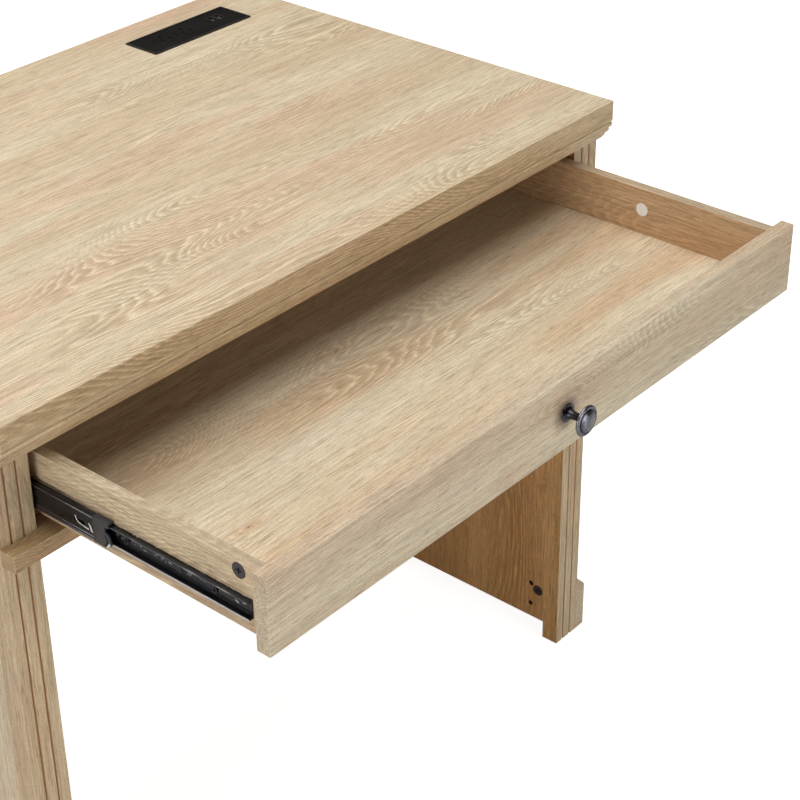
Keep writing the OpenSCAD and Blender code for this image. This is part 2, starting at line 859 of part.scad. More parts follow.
module drawer_back() {
    inside = side_x - side_t;
    color(oak_pale) drawer_frame() difference() {
        block([-inside, inside], [drawer_back_y - back_board_t, drawer_back_y], [side_bottom, side_top]);
        bottom_board(0.4);
        for (side = [LEFT, RIGHT]) on_side(side) mirror([1, 0, 0]) back_screw_set(fit);
    }
}

module drawer_bottom() {
    color(oak) drawer_frame() bottom_board();
}

module drawer_cam_locks() {
    color(black_plastic) drawer_frame() for (side = [LEFT, RIGHT]) on_side(side) mirror([1, 0, 0])
        difference() {
            drawer_cam_set();
            cross_recess_x(side_x + 0.5, drawer_cam_y, drawer_cam_z, 3.2);
        }
}

module drawer_cam_bolts() {
    color(bright_steel) drawer_frame() for (side = [LEFT, RIGHT]) on_side(side) mirror([1, 0, 0])
        drawer_bolt_set();
}

module drawer_dowels() {
    color(dowel_wood) drawer_frame() for (side = [LEFT, RIGHT]) on_side(side) mirror([1, 0, 0])
        drawer_dowel_set();
}

module drawer_back_screws() {
    y = drawer_back_y - back_board_t / 2;
    color(bright_steel) drawer_frame() for (side = [LEFT, RIGHT]) on_side(side) mirror([1, 0, 0])
        difference() {
            back_screw_set();
            for (z = back_screw_zs) cross_recess_x(side_x + 0.5, y, z, 2);
        }
}

// A round paper dot on the inside of the right-hand side
module round_sticker() {
    color("white") drawer_frame() translate([side_x - side_t - 0.3, 175, side_bottom + 41])
        rotate([0, 90, 0]) cylinder(h = 0.3, r = 7.5);
}

// ---------------------------------------------------------------- knob

knob_z = (front_top + front_bottom) / 2;
rosette_t = 4;
knob_r = knob_d / 2;
knob_screw_r = 2;

module turned() {
    drawer_frame() translate([0, 0, knob_z]) rotate([90, 0, 0]) rotate_extrude($fn = 96) children();
}

// A round plate with a bead at its edge and a raised middle
module knob_backplate() {
    r = rosette_d / 2;
    color(gunmetal) turned() difference() {
        union() {
            square([r - 0.8, 1.8]);
            translate([r - 0.9, 0.9]) circle(r = 0.9);
            polygon([[0, 1.8], [r - 2.2, 1.8], [r - 4.4, rosette_t], [0, rosette_t]]);
        }
        square([2 * (knob_screw_r + 0.3), 20], center = true);
    }
}

// Waisted stem, dished underside, rounded edge, a ring groove and a domed middle
module knob() {
    head_back = knob_reach - 9.5;
    edge_r = 1.8;
    dome_r = knob_r * 1.55;
    inner_r = knob_r - 4.2;
    dome_z = knob_reach - dome_r;
    waist_r = 4;
    stem_r = 5.5;
    hollow_r = 17;
    color(gunmetal) turned() difference() {
        union() {
            difference() {
                translate([0, rosette_t]) square([stem_r, head_back - rosette_t + 1]);
                translate([waist_r + hollow_r, (rosette_t + head_back) / 2]) circle(r = hollow_r);
            }
            polygon([
                [0, head_back - 3.5], [4.6, head_back - 3.5], [9, head_back + 0.6],
                [knob_r - edge_r, head_back + 2.6], [knob_r - edge_r, head_back + 2.6 + 2 * edge_r],
                [0, head_back + 2.6 + 2 * edge_r]
            ]);
            translate([knob_r - edge_r, head_back + 2.6 + edge_r]) circle(r = edge_r);
            intersection() {
                translate([0, dome_z]) circle(r = dome_r);
                translate([0, head_back + 3]) square([inner_r, knob_reach]);
            }
        }
        translate([inner_r + 0.7, head_back + 2.6 + 2 * edge_r]) circle(r = 0.7);
        square([2 * knob_screw_r, 2 * (head_back + 1)], center = true);
        translate([-50, -50]) square([50, 100]);
    }
}

module knob_screw() {
    head = 4;
    color(bright_steel) drawer_frame() difference() {
        union() {
            rod_y(0, [-knob_reach + 11, front_t + 0.1], knob_z, knob_screw_r - fit);
            rod_y(0, [front_t + 0.02, front_t + 2.4], knob_z, head);
        }
        cross_recess_y(0, front_t + 3, knob_z, 2.2);
    }
}

desktop();
front_moulding();
front_cross_rail();
drawer_rail();
back_panel();
post(LEFT, post_front, true);  // left_front_post
post(RIGHT, post_front, true);  // right_front_post
post(LEFT, rear_post_front, false);  // left_rear_post
post(RIGHT, rear_post_front, false);  // right_rear_post
inner_panel(LEFT);  // left_inner_panel
inner_panel(RIGHT);  // right_inner_panel
outer_panel(LEFT);  // left_outer_panel
outer_panel(RIGHT);  // right_outer_panel
leg_spacers(LEFT);  // left_leg_spacers
leg_spacers(RIGHT);  // right_leg_spacers
plinth(LEFT);  // left_plinth
plinth(RIGHT);  // right_plinth
leg_cam_locks();
leg_cam_bolts();
frame_dowels();
cross_rail_screws();
foot_glides();
power_bezel();
power_faceplate();
power_sockets();
usb_port_block();
power_housing();
power_clamps();
cord_gland();
slide_outer_member(LEFT);  // left_slide_outer_member
slide_outer_member(RIGHT);  // right_slide_outer_member
slide_case_screws();
slide_middle_member(LEFT);  // left_slide_middle_member
slide_middle_member(RIGHT);  // right_slide_middle_member
slide_end_cap(LEFT);  // left_slide_end_cap
slide_end_cap(RIGHT);  // right_slide_end_cap
outer_ball_cage(LEFT);  // left_outer_ball_cage
outer_ball_cage(RIGHT);  // right_outer_ball_cage
inner_ball_cage(LEFT);  // left_inner_ball_cage
inner_ball_cage(RIGHT);  // right_inner_ball_cage
slide_balls_outer(LEFT);  // left_slide_balls_outer
slide_balls_outer(RIGHT);  // right_slide_balls_outer
slide_balls_inner(LEFT);  // left_slide_balls_inner
slide_balls_inner(RIGHT);  // right_slide_balls_inner
slide_inner_member(LEFT);  // left_slide_inner_member
slide_inner_member(RIGHT);  // right_slide_inner_member
slide_drawer_screws();
drawer_front();
drawer_side(LEFT);  // left_drawer_side
drawer_side(RIGHT);  // right_drawer_side
drawer_back();
drawer_bottom();
drawer_cam_locks();
drawer_cam_bolts();
drawer_dowels();
drawer_back_screws();
knob();
knob_backplate();
knob_screw();
round_sticker();
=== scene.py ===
"""A writing desk with its drawer pulled out: looks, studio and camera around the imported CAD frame."""

import math

import bmesh
import bpy
from mathutils import Matrix, Vector


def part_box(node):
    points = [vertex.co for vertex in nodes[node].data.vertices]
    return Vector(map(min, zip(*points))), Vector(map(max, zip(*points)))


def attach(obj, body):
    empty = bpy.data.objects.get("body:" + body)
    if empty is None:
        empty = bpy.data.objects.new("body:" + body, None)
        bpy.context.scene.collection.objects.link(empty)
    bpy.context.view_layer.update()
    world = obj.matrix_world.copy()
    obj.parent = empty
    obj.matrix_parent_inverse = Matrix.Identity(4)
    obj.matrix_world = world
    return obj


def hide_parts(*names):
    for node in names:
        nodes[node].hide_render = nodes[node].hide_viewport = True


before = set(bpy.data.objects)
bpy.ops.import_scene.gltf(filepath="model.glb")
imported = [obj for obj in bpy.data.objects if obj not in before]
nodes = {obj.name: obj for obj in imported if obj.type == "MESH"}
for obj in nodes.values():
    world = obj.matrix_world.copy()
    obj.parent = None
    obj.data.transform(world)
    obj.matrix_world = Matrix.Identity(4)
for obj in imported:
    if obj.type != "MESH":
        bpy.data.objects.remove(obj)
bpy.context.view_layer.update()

MM = 0.001
WHITE = (1.0, 1.0, 1.0, 1.0)


# ---------------------------------------------------------------- node helpers

def linear(code):
    """The linear colour of an sRGB code such as d9c4a0, with alpha 1."""
    parts = [int(code[i:i + 2], 16) / 255 for i in (0, 2, 4)]
    return tuple(c / 12.92 if c < 0.04045 else ((c + 0.055) / 1.055) ** 2.4 for c in parts) + (1.0,)


class Graph:
    """Adds shader nodes to one tree. An input may be a number, a colour or another node's output."""

    def __init__(self, tree):
        self.tree = tree

    def put(self, socket, value):
        if isinstance(value, bpy.types.NodeSocket):
            self.tree.links.new(value, socket)
        else:
            socket.default_value = value

    def node(self, kind, settings=(), **inputs):
        made = self.tree.nodes.new("ShaderNode" + kind)
        for name, value in dict(settings).items():
            setattr(made, name, value)
        for name, value in inputs.items():
            self.put(made.inputs[name.replace("_", " ")], value)
        return made

    def math(self, operation, *values):
        made = self.tree.nodes.new("ShaderNodeMath")
        made.operation = operation
        for socket, value in zip(made.inputs, values):
            self.put(socket, value)
        return made.outputs[0]

    def step(self, value, low, high, out_low=0.0, out_high=1.0):
        """Smoothly from out_low to out_high as value goes from low to high."""
        made = self.node("MapRange", {"interpolation_type": "SMOOTHSTEP"}, Value=value)
        ends = {"From Min": low, "From Max": high, "To Min": out_low, "To Max": out_high}
        for name, number in ends.items():
            self.put(made.inputs[name], number)
        return made.outputs[0]

    def stretch(self, vector, scale):
        made = self.node("Mapping", Vector=vector, Scale=scale)
        return made.outputs[0]

    def noise(self, vector, scale, detail=2.0, roughness=0.5):
        made = self.node("TexNoise", Vector=self.stretch(vector, scale), Scale=1.0, Detail=detail,
                         Roughness=roughness)
        return made.outputs["Fac"]

    def mix(self, share, a, b, blend="MIX"):
        """From colour a to colour b. A Mix node keeps its colours in inputs 6 and 7 and output 2."""
        made = self.tree.nodes.new("ShaderNodeMix")
        made.data_type = "RGBA"
        made.blend_type = blend
        self.put(made.inputs[0], share)
        self.put(made.inputs[6], a)
        self.put(made.inputs[7], b)
        return made.outputs[2]

    def ramp(self, value, stops):
        """A colour ramp through (place, colour) stops."""
        made = self.node("ValToRGB", Fac=value)
        ramp = made.color_ramp
        while len(ramp.elements) < len(stops):
            ramp.elements.new(0.5)
        for element, (place, colour) in zip(ramp.elements, stops):
            element.position = place
            element.color = colour
        return made.outputs["Color"]


def new_material(name):
    """A material with only a Principled shader: (material, graph, shader)."""
    made = bpy.data.materials.new(name)
    made.use_nodes = True
    made.node_tree.nodes.clear()
    graph = Graph(made.node_tree)
    shader = graph.node("BsdfPrincipled")
    output = graph.node("OutputMaterial")
    made.node_tree.links.new(shader.outputs[0], output.inputs["Surface"])
    return made, graph, shader


# ---------------------------------------------------------------- oak laminate

def oak_group():
    """Oak figure on a point with x along the grain, y across it and z into the board, in metres."""
    tree = bpy.data.node_groups.new("oak_figure", "ShaderNodeTree")
    ports = (
        ("Point", "NodeSocketVector"), ("Swirl", "NodeSocketFloat"), ("Patch", "NodeSocketFloat"),
        ("Figure", "NodeSocketFloat"),
        ("Pale", "NodeSocketColor"), ("Mid", "NodeSocketColor"), ("Blush", "NodeSocketColor"),
        ("Dark", "NodeSocketColor"),
    )
    for name, kind in ports:
        tree.interface.new_socket(name, in_out="INPUT", socket_type=kind)
    results = (("Color", "NodeSocketColor"), ("Height", "NodeSocketFloat"), ("Gloss", "NodeSocketFloat"))
    for name, kind in results:
        tree.interface.new_socket(name, in_out="OUTPUT", socket_type=kind)
    graph = Graph(tree)
    given = tree.nodes.new("NodeGroupInput").outputs
    result = tree.nodes.new("NodeGroupOutput")
    point = given["Point"]

    # The grain wanders across the board, so every finer pattern follows the wandering point
    wander = graph.math("SUBTRACT", graph.noise(point, (1.4, 4.5, 4.5), 2.0), 0.5)
    waver = graph.math("SUBTRACT", graph.noise(point, (9.0, 16.0, 16.0), 1.0), 0.5)
    parts = graph.node("SeparateXYZ", Vector=point).outputs
    across = graph.math("MULTIPLY_ADD", wander, 0.034, parts[1])
    across = graph.math("MULTIPLY_ADD", waver, 0.004, across)
    grain = graph.node("CombineXYZ", X=parts[0], Y=across, Z=parts[2]).outputs[0]

    # Growth rings: contours of a field that is stretched along the grain, with jagged crests
    field = graph.noise(grain, (1.5, 8.0, 8.0), 1.0, 0.4)
    ripple = graph.noise(grain, (14.0, 130.0, 130.0), 2.0, 0.6)
    phase = graph.math("MULTIPLY", across, 190.0)
    phase = graph.math("MULTIPLY_ADD", field, 105.0, phase)
    phase = graph.math("MULTIPLY_ADD", ripple, 1.5, phase)
    phase = graph.math("ADD", phase, given["Swirl"])
    ring = graph.math("FRACT", phase)
    late = graph.math("MULTIPLY", graph.step(ring, 0.25, 0.80), graph.step(ring, 0.84, 0.99, 1.0, 0.0))
    early = graph.math("MULTIPLY", graph.step(ring, 0.0, 0.08), graph.step(ring, 0.12, 0.36, 1.0, 0.0))
    patch = graph.step(graph.noise(grain, (3.0, 13.0, 13.0), 1.5), 0.48, 0.64, 0.12, 1.0)
    busy = graph.math("MULTIPLY", graph.math("MAXIMUM", patch, given["Patch"]), given["Figure"])

    # Broad streaks of colour, fibres, and short open pores
    streak = graph.noise(grain, (1.3, 15.0, 15.0), 2.5, 0.55)
    streak_fine = graph.noise(grain, (3.0, 75.0, 75.0), 2.0, 0.5)
    fibre = graph.noise(grain, (13.0, 470.0, 470.0), 3.0, 0.75)
    dash = graph.noise(grain, (36.0, 620.0, 620.0), 1.0, 0.5)
    mottle = graph.noise(grain, (420.0, 700.0, 700.0), 1.0, 0.5)
    pore = graph.step(graph.noise(grain, (60.0, 1000.0, 1000.0), 1.0), 0.60, 0.72)

    tone = graph.math("MULTIPLY_ADD", streak_fine, 0.30, graph.math("MULTIPLY", streak, 0.70))
    colour = graph.mix(graph.step(tone, 0.38, 0.60), given["Mid"], given["Pale"])
    blush = graph.step(graph.noise(grain, (1.8, 15.0, 15.0), 1.5), 0.44, 0.68, 0.0, 0.75)
    blush = graph.math("MAXIMUM", blush, graph.math("MULTIPLY", given["Patch"], 0.9))
    colour = graph.mix(blush, colour, given["Blush"])
    late_share = graph.math("MULTIPLY", late, graph.math("MULTIPLY", busy, 0.27))
    colour = graph.mix(late_share, colour, given["Dark"])
    lift = graph.mix(1.0, given["Pale"], (1.20, 1.18, 1.13, 1.0), "MULTIPLY")
    colour = graph.mix(graph.math("MULTIPLY", early, graph.math("MULTIPLY", busy, 0.60)), colour, lift)
    shade = graph.step(fibre, 0.32, 0.68, 0.82, 1.145)
    shade = graph.math("ADD", shade, graph.step(mottle, 0.30, 0.70, -0.075, 0.075))
    shade = graph.math("ADD", shade, graph.step(dash, 0.24, 0.44, 0.060, 0.0))
    grey = graph.node("CombineColor", Red=shade, Green=shade, Blue=shade).outputs[0]
    colour = graph.mix(1.0, colour, grey, "MULTIPLY")
    colour = graph.mix(graph.step(dash, 0.56, 0.74, 0.0, 0.40), colour, given["Dark"])
    colour = graph.mix(graph.math("MULTIPLY", pore, 0.50), colour, given["Dark"])

    height = graph.math("MULTIPLY_ADD", fibre, 0.5, graph.math("MULTIPLY", late, 0.12))
    height = graph.math("MULTIPLY_ADD", pore, -0.6, height)
    gloss = graph.math("MULTIPLY_ADD", fibre, 0.16, graph.math("MULTIPLY", pore, 0.15))
    for name, value in (("Color", colour), ("Height", height), ("Gloss", gloss)):
        tree.links.new(value, result.inputs[name])
    return tree


OAK = oak_group()
AXES = {"x": 0, "y": 1, "z": 2}
TONES = {
    # pale, mid, blush and dark tones of one laminate print; some are that print darkened with painted shade
    "light": ("dbceb2", "d1bd9f", "d2b498", "977551"),
    "bottom": ("ded2b7", "d3c0a4", "cfb18e", "8d6a45"),
    "front": ("d6c9af", "c8b699", "c7ad91", "8b6d4c"),
    "band": ("cfba98", "bfa582", "bc9f7c", "83653f"),
    "mould": ("d3be9c", "c3aa87", "c0a380", "866841"),
    # partly the rail's own darker print, partly painted shade for the shadow under the drawer
    "rail": ("bfa680", "ad9069", "ab8962", "6d4f30"),
    "post": ("d3c0a0", "c5b08f", "c4a684", "83623d"),
    # painted shade: the print darker and warmer for inside faces that lie in shadow
    "warm": ("d2b48f", "c3a27e", "c19a73", "7d5c3b"),
    # painted shade: the print darker and warmer for the legs' inner faces, which lie in shadow
    "shade": ("d6a871", "c19861", "bf8e59", "74502c"),
    "pale": ("c5b59c", "bba88c", "b9a184", "987e5e"),
    "box": ("dbc6a5", "c9af90", "c9a888", "8b6a43"),
}
BORE_SHADE = "4a2e1a"  # raw board inside a bore, darkened with painted shade
FLUTE_SHADE = "a57d58"  # the bottom of a post's grooves, darkened with painted shade
KNOT_EYE = "5a3a22"
WEAR_WIDTH = 0.0011

# Boards with shaped faces that lie inside their box, where depth doesn't mean a bore
PROFILED = ("front_moulding", "left_plinth", "right_plinth", "drawer_rail")


def box_gaps(graph, place, box):
    """How far a point is inside a box's nearest face, and 1 along the box's edges, fading to 0."""
    low, high = box
    parts = graph.node("SeparateXYZ", Vector=place).outputs
    gaps = []
    for i in range(3):
        from_low = graph.math("SUBTRACT", parts[i], low[i])
        from_high = graph.math("SUBTRACT", high[i], parts[i])
        gaps.append(graph.math("MINIMUM", from_low, from_high))
    least = graph.math("MINIMUM", gaps[0], gaps[1])
    most = graph.math("MAXIMUM", gaps[0], gaps[1])
    middle = graph.math("MAXIMUM", least, graph.math("MINIMUM", most, gaps[2]))
    return graph.math("MINIMUM", least, gaps[2]), graph.step(middle, 0.0, WEAR_WIDTH, 1.0, 0.0)


def banding(graph, faces):
    """1 on the faces whose outward direction is given, such as +z, or x for both ways."""
    normal = graph.node("SeparateXYZ", Vector=graph.node("TexCoord").outputs["Normal"]).outputs
    share = 0.0
    for face in faces:
        way = normal[AXES[face[-1]]]
        if len(face) == 1:
            way = graph.math("ABSOLUTE", way)
        elif face[0] == "-":
            way = graph.math("MULTIPLY", way, -1.0)
        share = graph.math("MAXIMUM", share, graph.step(way, 0.55, 0.85))
    return share


def oak(name, grain, across, tones, seed, knots=(), figure=1.0, banded=(), band_tones=None):
    """Oak laminate for one board. Its banded faces take other tones: another print on most boards, painted
    shade on the posts' inner faces. Its bores show raw board and its grooves their bottoms, both darkened
    with painted shade.

    A knot is (place along, place across, radius, swirl, dark eye or not), in metres.
    """
    low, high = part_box(name)
    material, graph, shader = new_material("oak_" + name)
    place = graph.node("TexCoord").outputs["Object"]
    parts = graph.node("SeparateXYZ", Vector=place).outputs
    depth = "xyz".replace(grain, "").replace(across, "")
    i, j, k = (AXES[a] for a in (grain, across, depth))
    along = graph.math("ADD", parts[i], 0.71 * seed)
    over = graph.math("ADD", parts[j], 0.37 * seed)
    point = graph.node("CombineXYZ", X=along, Y=over, Z=parts[k]).outputs[0]

    swirl, patch, core = 0.0, 0.0, 0.0
    for centre_i, centre_j, radius, strength, eye in knots:
        u = graph.math("DIVIDE", graph.math("SUBTRACT", parts[i], centre_i), radius * 4.0)
        v = graph.math("DIVIDE", graph.math("SUBTRACT", parts[j], centre_j), radius)
        away = graph.math("MULTIPLY_ADD", u, u, graph.math("MULTIPLY", v, v))
        bell = graph.math("POWER", math.e, graph.math("MULTIPLY", away, -0.5))
        swirl = graph.math("MULTIPLY_ADD", bell, strength, swirl)
        patch = graph.math("MAXIMUM", patch, graph.math("MULTIPLY", bell, 0.9))
        if eye:
            core = graph.math("MAXIMUM", core, graph.step(away, 0.004, 0.030, 0.75, 0.0))

    codes = TONES[tones]
    colours = [linear(code) for code in codes]
    if banded:
        share = banding(graph, banded)
        colours = [graph.mix(share, colour, linear(code)) for colour, code in zip(colours, TONES[band_tones])]
    pale, mid, blush, dark = colours
    wood = graph.node("Group", {"node_tree": OAK}, Point=point, Swirl=swirl, Patch=patch, Figure=figure,
                      Pale=pale, Mid=mid, Blush=blush, Dark=dark).outputs
    colour = wood["Color"]
    if any(knot[4] for knot in knots):
        colour = graph.mix(core, colour, linear(KNOT_EYE))
    depth_in, worn_and_highlight = box_gaps(graph, place, (low, high))
    # Points sunk below the box's faces, in bores and in the posts' grooves, get painted shade
    if name not in PROFILED:
        inside = linear(FLUTE_SHADE if name.endswith("post") else BORE_SHADE)
        colour = graph.mix(graph.step(depth_in, 0.0002, 0.0010), colour, inside)
    patchy = graph.step(graph.noise(place, (60.0, 60.0, 60.0), 2.0), 0.35, 0.65, 0.10, 0.5)
    wear_and_highlight = graph.mix(0.5, pale, (0.9, 0.82, 0.68, 1.0))
    colour = graph.mix(graph.math("MULTIPLY", worn_and_highlight, patchy), colour, wear_and_highlight)
    graph.put(shader.inputs["Base Color"], colour)
    graph.put(shader.inputs["Roughness"], graph.math("ADD", wood["Gloss"], 0.42))
    shader.inputs["Specular IOR Level"].default_value = 0.35
    bump = graph.node("Bump", Height=wood["Height"], Strength=0.35, Distance=0.0006)
    graph.put(shader.inputs["Normal"], bump.outputs[0])
    return material


# ---------------------------------------------------------------- other materials

def particle_board(name):
    """Raw board: pale chips pressed together."""
    material, graph, shader = new_material(name)
    place = graph.node("TexCoord").outputs["Object"]
    chips = graph.node("TexVoronoi", Vector=place, Scale=420.0).outputs["Distance"]
    tones = [(0.0, linear("8d6f48")), (0.5, linear("b99765")), (1.0, linear("d3b684"))]
    graph.put(shader.inputs["Base Color"], graph.ramp(chips, tones))
    graph.put(shader.inputs["Roughness"], graph.step(chips, 0.0, 1.0, 0.75, 0.95))
    bump = graph.node("Bump", Height=chips, Strength=0.5, Distance=0.0005)
    graph.put(shader.inputs["Normal"], bump.outputs[0])
    return material


PLASTIC_GRAIN = 0.0006


def moulded_plastic(name, code, roughness, wear=0.12):
    """Plastic with a fine spark-eroded grain, faint smudges and slightly paler high spots."""
    material, graph, shader = new_material(name)
    place = graph.node("TexCoord").outputs["Object"]
    grain = graph.noise(place, (1.0 / PLASTIC_GRAIN,) * 3, 2.0)
    smudge = graph.noise(place, (35.0, 35.0, 35.0), 3.0)
    base = linear(code)
    paler = tuple(min(1.0, c * 1.9 + 0.012) for c in base[:3]) + (1.0,)
    high = graph.step(grain, 0.52, 0.72, 0.0, wear * 2)
    tint = graph.mix(graph.math("ADD", high, graph.step(smudge, 0.4, 0.8, 0.0, wear)), base, paler)
    graph.put(shader.inputs["Base Color"], tint)
    graph.put(shader.inputs["Roughness"], graph.step(smudge, 0.25, 0.75, roughness - 0.07, roughness + 0.10))
    bump = graph.node("Bump", Height=grain, Strength=0.30, Distance=0.0001)
    graph.put(shader.inputs["Normal"], bump.outputs[0])
    return material


def bare_metal(name, code, roughness, along=(1.0, 1.0, 1.0)):
    """Plated steel with fine brushing along one axis and cloudy variation in its gloss."""
    material, graph, shader = new_material(name)
    place = graph.node("TexCoord").outputs["Object"]
    brush = graph.noise(place, tuple(900.0 * a for a in along), 2.0, 0.6)
    cloud = graph.noise(place, (90.0, 90.0, 90.0), 3.0)
    base = linear(code)
    darker = tuple(c * 0.62 for c in base[:3]) + (1.0,)
    graph.put(shader.inputs["Base Color"], graph.mix(graph.step(cloud, 0.3, 0.75), base, darker))
    shader.inputs["Metallic"].default_value = 1.0
    cloudy = graph.step(cloud, 0.3, 0.7, roughness - 0.05, roughness + 0.07)
    graph.put(shader.inputs["Roughness"], graph.math("ADD", graph.step(brush, 0.3, 0.7, -0.06, 0.08), cloudy))
    bump = graph.node("Bump", Height=brush, Strength=0.15, Distance=0.00005)
    graph.put(shader.inputs["Normal"], bump.outputs[0])
    return material


def antique_metal(name, node, rub_and_highlight):
    """Gunmetal on a part turned about y, dark in its hollows. Its face and rim are paler, partly from wear
    and partly as a painted highlight; the last argument sets how pale.
    """
    low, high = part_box(node)
    material, graph, shader = new_material(name)
    place = graph.node("TexCoord").outputs["Object"]
    parts = graph.node("SeparateXYZ", Vector=place).outputs
    over = graph.math("SUBTRACT", parts[0], (low[0] + high[0]) / 2)
    up = graph.math("SUBTRACT", parts[2], (low[2] + high[2]) / 2)
    out = graph.math("SQRT", graph.math("MULTIPLY_ADD", over, over, graph.math("MULTIPLY", up, up)))
    reach = (high[2] - low[2]) / 2
    # painted highlight, partly wear: the rim and the front face are paler
    rim = graph.step(out, reach - 0.0014, reach - 0.0006)
    normal = graph.node("SeparateXYZ", Vector=graph.node("TexCoord").outputs["Normal"]).outputs
    face = graph.step(graph.math("MULTIPLY", normal[1], -1.0), 0.86, 0.97)
    cloud = graph.noise(place, (320.0, 320.0, 320.0), 3.0, 0.6)
    patchy = graph.step(cloud, 0.30, 0.70, 0.45 * rub_and_highlight, rub_and_highlight)
    wear_and_highlight = graph.math("MULTIPLY", graph.math("MAXIMUM", rim, face), patchy)
    graph.put(shader.inputs["Base Color"], graph.mix(wear_and_highlight, linear("424149"), linear("92929c")))
    shader.inputs["Metallic"].default_value = 1.0
    graph.put(shader.inputs["Roughness"], graph.step(cloud, 0.3, 0.7, 0.17, 0.30))
    bump = graph.node("Bump", Height=cloud, Strength=0.20, Distance=0.0002)
    graph.put(shader.inputs["Normal"], bump.outputs[0])
    return material


def web_glints(graph, place, box, open_side):
    """Painted glints: bright spots along the upper web of a channel and along the root of its top lip."""
    low, high = box
    parts = graph.node("SeparateXYZ", Vector=place).outputs
    middle = (low[2] + high[2]) / 2
    tall = high[2] - middle
    band = graph.math("SUBTRACT", parts[2], middle)
    above = graph.step(band, -0.16 * tall, -0.04 * tall)
    zone = graph.math("MULTIPLY", above, graph.step(band, 0.26 * tall, 0.38 * tall, 1.0, 0.0))
    crest = graph.step(graph.math("SUBTRACT", high[2], parts[2]), 0.0003, 0.0009, 1.0, 0.0)
    root = low[0] if open_side > 0 else high[0]
    from_root = graph.math("ABSOLUTE", graph.math("SUBTRACT", parts[0], root))
    crest = graph.math("MULTIPLY", crest, graph.step(from_root, 0.0005, 0.0014, 1.0, 0.0))
    glint = graph.step(graph.noise(place, (300.0, 170.0, 420.0), 3.0, 0.7), 0.57, 0.63)
    return graph.math("MULTIPLY", graph.math("MULTIPLY", graph.math("MAXIMUM", zone, crest), glint), 0.75)


def coated_steel(name, node, open_side, painted_glints=False):
    """Black coated steel whose rolled lips, on the channel's open side, are bright with wear and a painted
    highlight.
    """
    low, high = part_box(node)
    material, graph, shader = new_material(name)
    place = graph.node("TexCoord").outputs["Object"]
    parts = graph.node("SeparateXYZ", Vector=place).outputs
    # The rolled lips are bright partly from wear and partly as a painted highlight
    lip = high[0] if open_side > 0 else low[0]
    gap = graph.math("ABSOLUTE", graph.math("SUBTRACT", parts[0], lip))
    wear_and_highlight = graph.step(gap, 0.0002, 0.0011, 1.0, 0.0)
    middle = (low[2] + high[2]) / 2
    tall = high[2] - middle
    rise = graph.math("ABSOLUTE", graph.math("SUBTRACT", parts[2], middle))
    wear_and_highlight = graph.math("MULTIPLY", wear_and_highlight, graph.step(rise, 0.55 * tall, 0.62 * tall))
    scuff = graph.noise(place, (300.0, 16.0, 300.0), 3.0, 0.6)
    wear_and_highlight = graph.math("MULTIPLY", wear_and_highlight, graph.step(scuff, 0.30, 0.52, 0.35, 1.0))
    if painted_glints:
        # The upper lip's wear and painted highlight show only here and there along its length
        runs = graph.step(graph.noise(place, (0.0, 16.0, 0.0), 1.0), 0.50, 0.60, 0.08, 0.85)
        runs = graph.node("CombineColor", Red=runs, Green=runs, Blue=runs).outputs[0]
        upper = graph.step(parts[2], middle, middle + 0.001)
        wear_and_highlight = graph.math("MULTIPLY", wear_and_highlight, graph.mix(upper, WHITE, runs))
        wear_and_highlight = graph.math("MAXIMUM", wear_and_highlight, web_glints(graph, place, (low, high), open_side))
    oil = graph.noise(place, (120.0, 35.0, 120.0), 3.0)
    black = graph.mix(graph.step(oil, 0.35, 0.7), linear("0f0f11"), linear("1c1c20"))
    graph.put(shader.inputs["Base Color"], graph.mix(wear_and_highlight, black, linear("d5d2d6")))
    graph.put(shader.inputs["Metallic"], graph.math("MULTIPLY_ADD", wear_and_highlight, 0.55, 0.40))
    graph.put(shader.inputs["Roughness"], graph.step(oil, 0.3, 0.7, 0.22, 0.42))
    uneven = graph.math("MULTIPLY_ADD", scuff, 0.4, oil)
    bump = graph.node("Bump", Height=uneven, Strength=0.25, Distance=0.0003)
    graph.put(shader.inputs["Normal"], bump.outputs[0])
    return material


def paper(name):
    """White sticker paper with a faint pulp."""
    material, graph, shader = new_material(name)
    place = graph.node("TexCoord").outputs["Object"]
    pulp = graph.noise(place, (1600.0, 1600.0, 1600.0), 3.0)
    tint = graph.mix(graph.step(pulp, 0.3, 0.7), linear("e9e8e4"), linear("fbfbf9"))
    graph.put(shader.inputs["Base Color"], tint)
    graph.put(shader.inputs["Roughness"], graph.step(pulp, 0.3, 0.7, 0.55, 0.75))
    bump = graph.node("Bump", Height=pulp, Strength=0.2, Distance=0.0001)
    graph.put(shader.inputs["Normal"], bump.outputs[0])
    return material


# ---------------------------------------------------------------- finishing CAD nodes

def finish_node(name, material, radius=0.0):
    """Gives a CAD node its material and, where radius is set, small rounded edges."""
    piece = nodes[name]
    piece.data.materials.clear()
    piece.data.materials.append(material)
    if radius <= 0:
        return
    weld = piece.modifiers.new("weld", "WELD")
    weld.merge_threshold = 2e-6
    flat = piece.modifiers.new("flat", "DECIMATE")
    flat.decimate_type = "DISSOLVE"
    flat.angle_limit = math.radians(0.6)
    bevel = piece.modifiers.new("edge", "BEVEL")
    bevel.width = radius
    bevel.segments = 2
    bevel.limit_method = "ANGLE"
    bevel.angle_limit = math.radians(32)
    bevel.use_clamp_overlap = False
    bevel.harden_normals = True


